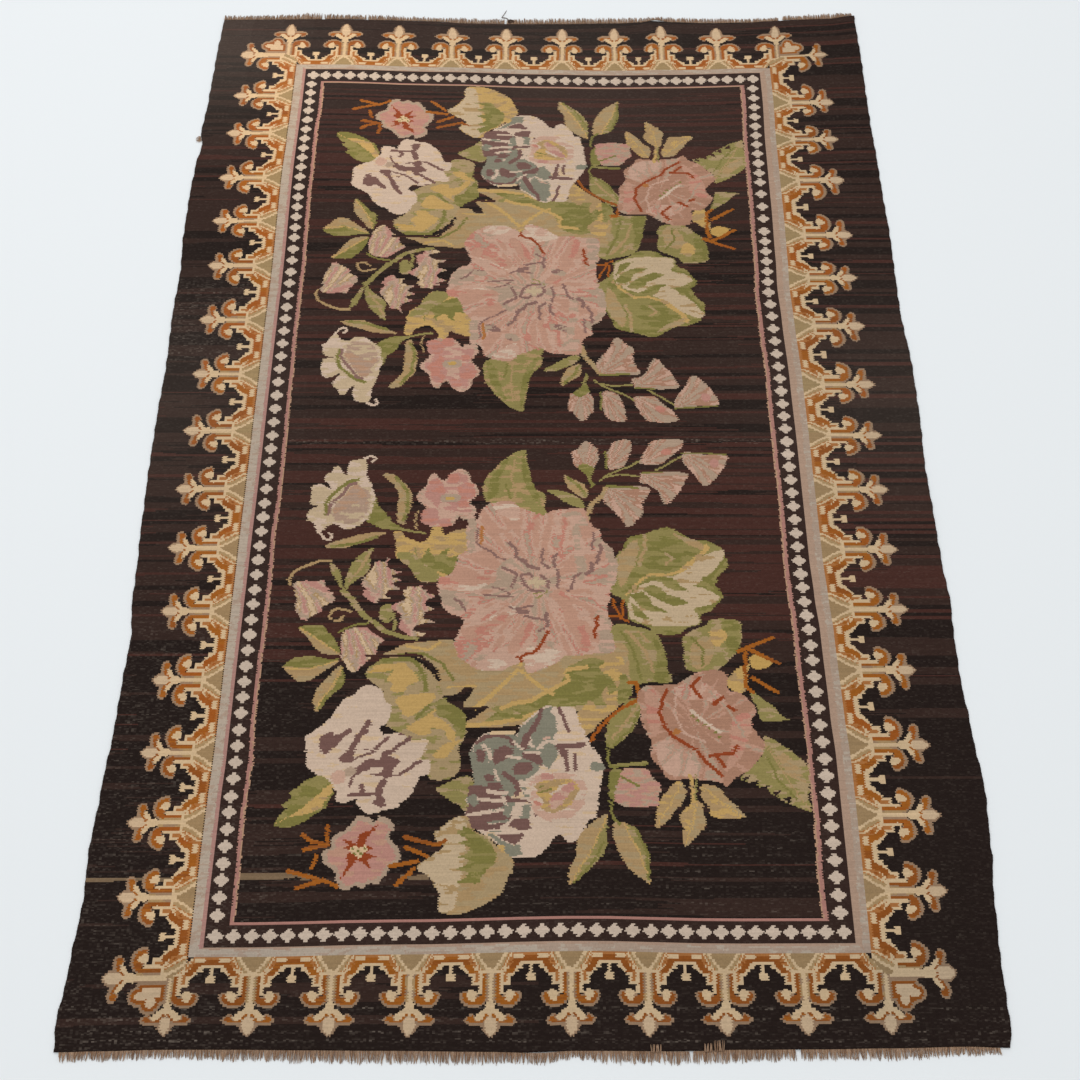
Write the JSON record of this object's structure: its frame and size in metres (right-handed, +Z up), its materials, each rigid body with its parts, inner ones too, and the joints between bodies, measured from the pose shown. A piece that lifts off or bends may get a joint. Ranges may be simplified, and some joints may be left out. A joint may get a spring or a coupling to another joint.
{
  "type": "kilim rug",
  "caption": "Flat-woven wool kilim rug lying open, with mirrored rose bouquets, a star guard stripe and a palmette border on dark brown, and a short cut fringe at each end.",
  "frame": {"origin": "middle of the rug's underside, on the ground, halfway between the straight lines of the two selvedges and of the two woven ends", "axes": "+X across the rug, along the wefts; +Y along the warps, from the foot to the head; +Z up"},
  "size_m": [1.9475, 3.0016, 0.005],
  "materials": {
    "kilim_wool": "weft-faced tapestry weave in matt wool, worn, with fine ribs along the length",
    "warp_ends": "undyed light brown wool warps, cut short and matted",
    "loose_wool": "frayed dark brown wool yarn"
  },
  "bodies": {
    "root": {"kilim_cloth": "kilim_wool", "fringe_head": "warp_ends", "fringe_foot": "warp_ends", "side_tuft": "loose_wool"}
  },
  "joints": []
}
